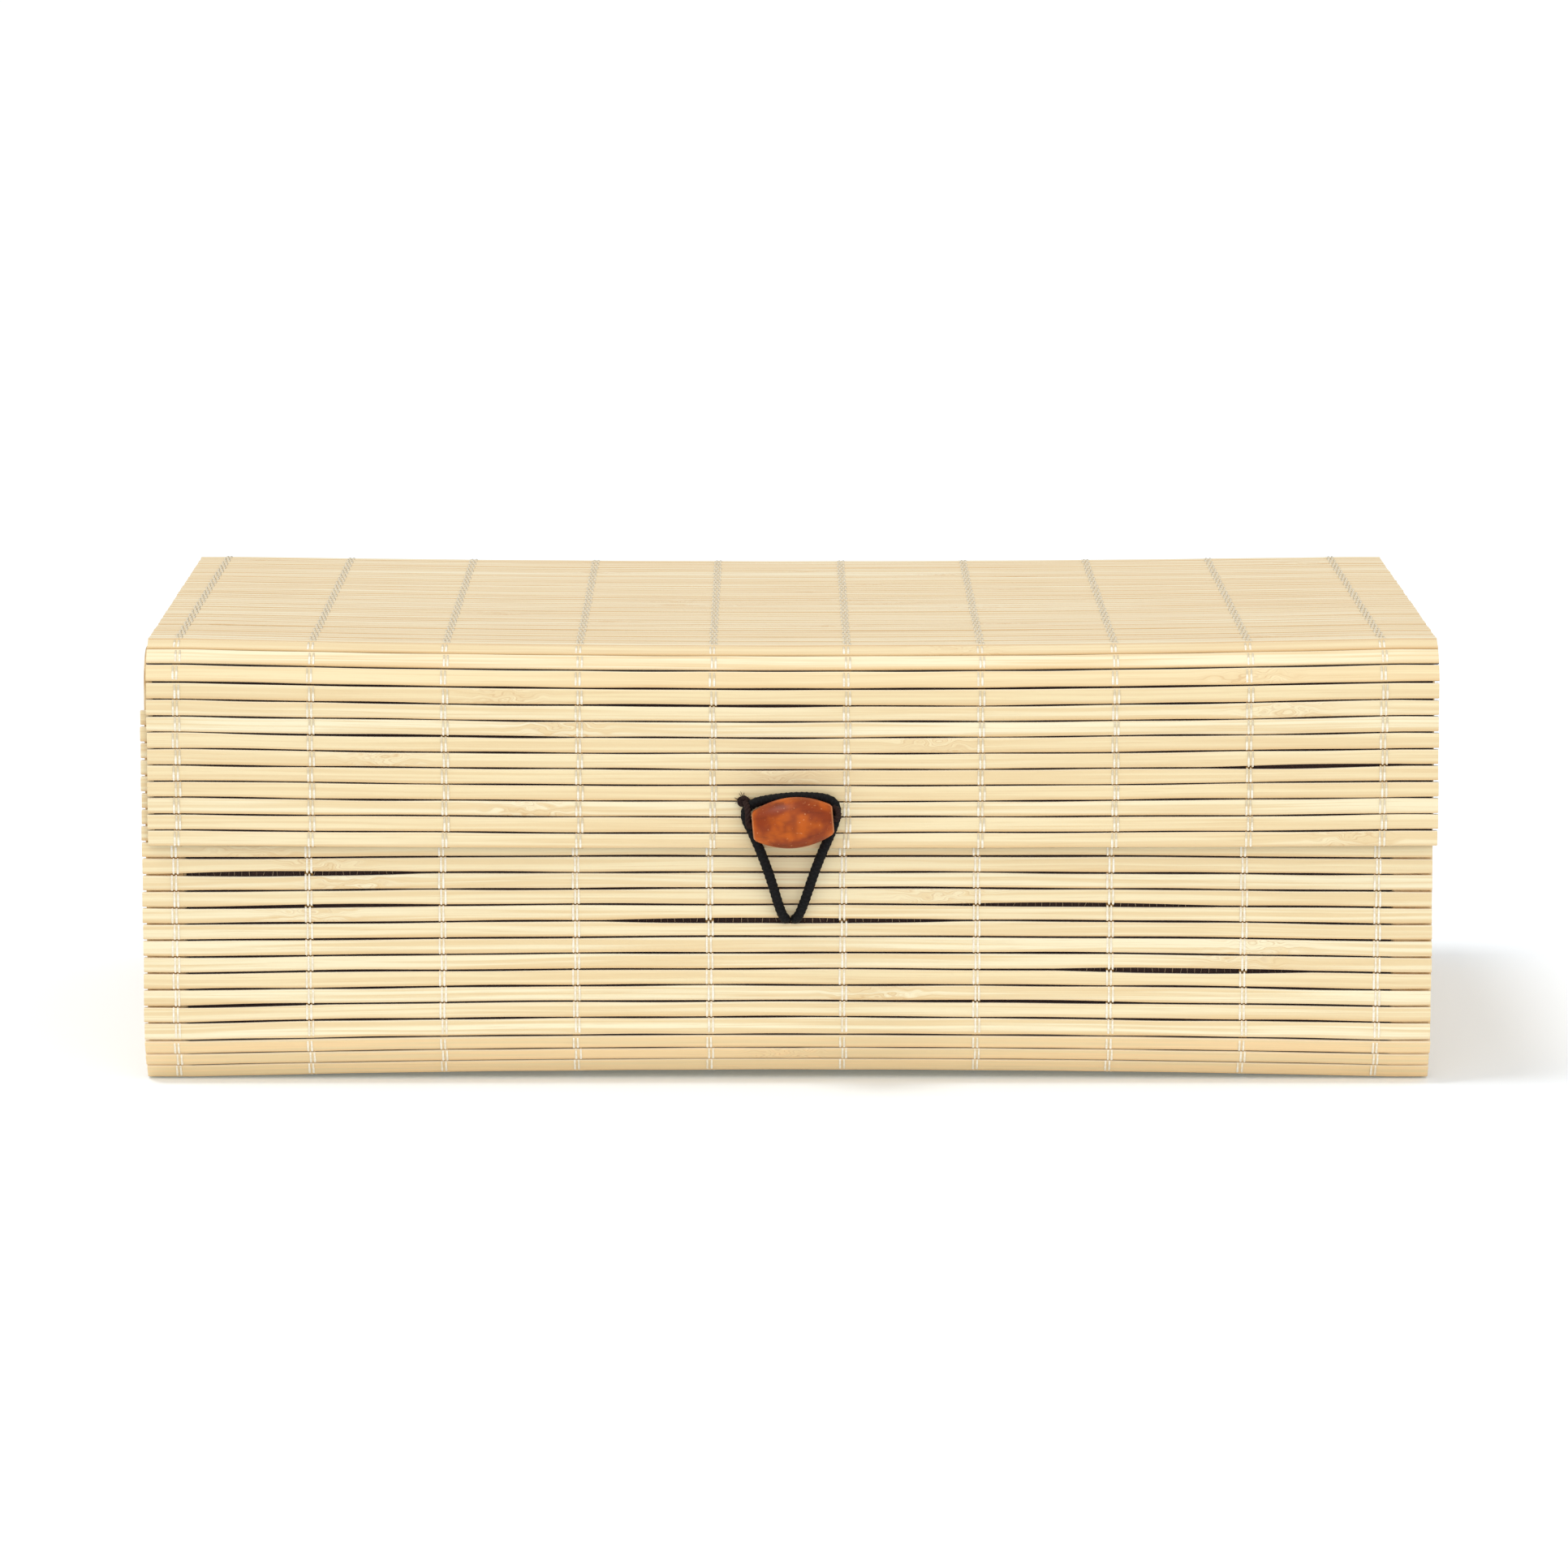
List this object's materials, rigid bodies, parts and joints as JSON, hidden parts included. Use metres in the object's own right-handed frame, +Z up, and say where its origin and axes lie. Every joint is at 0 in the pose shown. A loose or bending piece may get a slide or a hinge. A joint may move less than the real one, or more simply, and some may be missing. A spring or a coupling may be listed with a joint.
{
  "type": "brush box",
  "caption": "Long box made from a bamboo slat mat on two wooden end panels, with a cloth-hinged lid whose front flap closes with a wooden bead and an elastic loop.",
  "frame": {"origin": "centre of the base, on the plane that the floor slats stand on, midway between the end faces and between the front and back walls", "axes": "+X along the slats to the right, -Y towards the front with the flap and bead, +Z up through the lid"},
  "size_m": [0.32, 0.2076, 0.1116],
  "materials": {
    "bamboo_slats": "natural bamboo, satin",
    "end_panel_wood": "bare light wood, sanded",
    "lining_cloth": "dark brown woven cloth",
    "warp_thread": "whitish twisted thread",
    "bead_wood": "orange-brown stained and polished wood",
    "bead_cord": "dark brown cord",
    "elastic": "black braided elastic"
  },
  "bodies": {
    "box": {"left_end_panel": "end_panel_wood", "right_end_panel": "end_panel_wood", "front_wall_slats": "bamboo_slats", "front_bend_slats": "bamboo_slats", "floor_slats": "bamboo_slats", "back_bend_slats": "bamboo_slats", "back_wall_slats": "bamboo_slats", "body_threads": "warp_thread", "body_lining": "lining_cloth", "loop_knot": "elastic"},
    "hinge_link_1": {"hinge_slat_1": "bamboo_slats", "hinge_cloth_1": "lining_cloth", "hinge_threads_1": "warp_thread"},
    "hinge_link_2": {"hinge_slat_2": "bamboo_slats", "hinge_cloth_2": "lining_cloth", "hinge_threads_2": "warp_thread"},
    "hinge_link_3": {"hinge_slat_3": "bamboo_slats", "hinge_cloth_3": "lining_cloth", "hinge_threads_3": "warp_thread"},
    "lid": {"lid_top_slats": "bamboo_slats", "lid_threads": "warp_thread", "lid_lining": "lining_cloth"},
    "fold_link_1": {"fold_slat_1": "bamboo_slats", "fold_cloth_1": "lining_cloth", "fold_threads_1": "warp_thread"},
    "fold_link_2": {"fold_slat_2": "bamboo_slats", "fold_cloth_2": "lining_cloth", "fold_threads_2": "warp_thread"},
    "fold_link_3": {"fold_slat_3": "bamboo_slats", "fold_cloth_3": "lining_cloth", "fold_threads_3": "warp_thread"},
    "flap": {"flap_slats": "bamboo_slats", "flap_threads": "warp_thread", "flap_lining": "lining_cloth", "bead_cord": "bead_cord", "bead_cord_knot": "bead_cord"},
    "bead": {"bead": "bead_wood"},
    "loop": {"closure_loop": "elastic"}
  },
  "joints": [
    {"name": "lid_hinge", "type": "hinge", "parent": "box", "child": "hinge_link_2", "pos_m": [0, 0.09421, 0.10355], "axis": [-1, 0, 0], "range_deg": [0, 75]},
    {"name": "lid_hinge_upper", "type": "hinge", "parent": "hinge_link_2", "child": "lid", "pos_m": [0, 0.08825, 0.10951], "axis": [-1, 0, 0], "range_deg": [0, 75]},
    {"name": "hinge_link_1_bend", "type": "hinge", "parent": "box", "child": "hinge_link_1", "pos_m": [0, 0.09435, 0.10139], "axis": [-1, 0, 0], "range_deg": [0, 37.5]},
    {"name": "hinge_link_3_bend", "type": "hinge", "parent": "hinge_link_2", "child": "hinge_link_3", "pos_m": [0, 0.08988, 0.10808], "axis": [-1, 0, 0], "range_deg": [0, 37.5]},
    {"name": "flap_fold", "type": "hinge", "parent": "lid", "child": "fold_link_2", "pos_m": [0, -0.09064, 0.10924], "axis": [-1, 0, 0], "range_deg": [0, 45]},
    {"name": "flap_fold_upper", "type": "hinge", "parent": "fold_link_2", "child": "flap", "pos_m": [0, -0.09644, 0.10344], "axis": [-1, 0, 0], "range_deg": [0, 45]},
    {"name": "fold_link_1_bend", "type": "hinge", "parent": "lid", "child": "fold_link_1", "pos_m": [0, -0.08859, 0.10965], "axis": [-1, 0, 0], "range_deg": [0, 22.5]},
    {"name": "fold_link_3_bend", "type": "hinge", "parent": "fold_link_2", "child": "fold_link_3", "pos_m": [0, -0.09528, 0.10518], "axis": [-1, 0, 0], "range_deg": [0, 22.5]},
    {"name": "bead_spin", "type": "hinge", "parent": "flap", "child": "bead", "pos_m": [0, -0.1051, 0.0675], "axis": [0.9962, 0, 0.0872], "continuous": true},
    {"name": "loop_swing", "type": "hinge", "parent": "box", "child": "loop", "pos_m": [0, -0.0963, 0.04038], "axis": [1, 0, 0], "range_deg": [0, 150], "deforming": ["closure_loop"]}
  ],
  "couplings": [
    {"joint": "lid_hinge_upper", "follows": "lid_hinge", "ratio": 1},
    {"joint": "hinge_link_1_bend", "follows": "lid_hinge", "ratio": 0.5},
    {"joint": "hinge_link_3_bend", "follows": "lid_hinge", "ratio": 0.5},
    {"joint": "flap_fold_upper", "follows": "flap_fold", "ratio": 1},
    {"joint": "fold_link_1_bend", "follows": "flap_fold", "ratio": 0.5},
    {"joint": "fold_link_3_bend", "follows": "flap_fold", "ratio": 0.5},
    {"joint": "loop_swing", "follows": "lid_hinge", "ratio": 2}
  ]
}
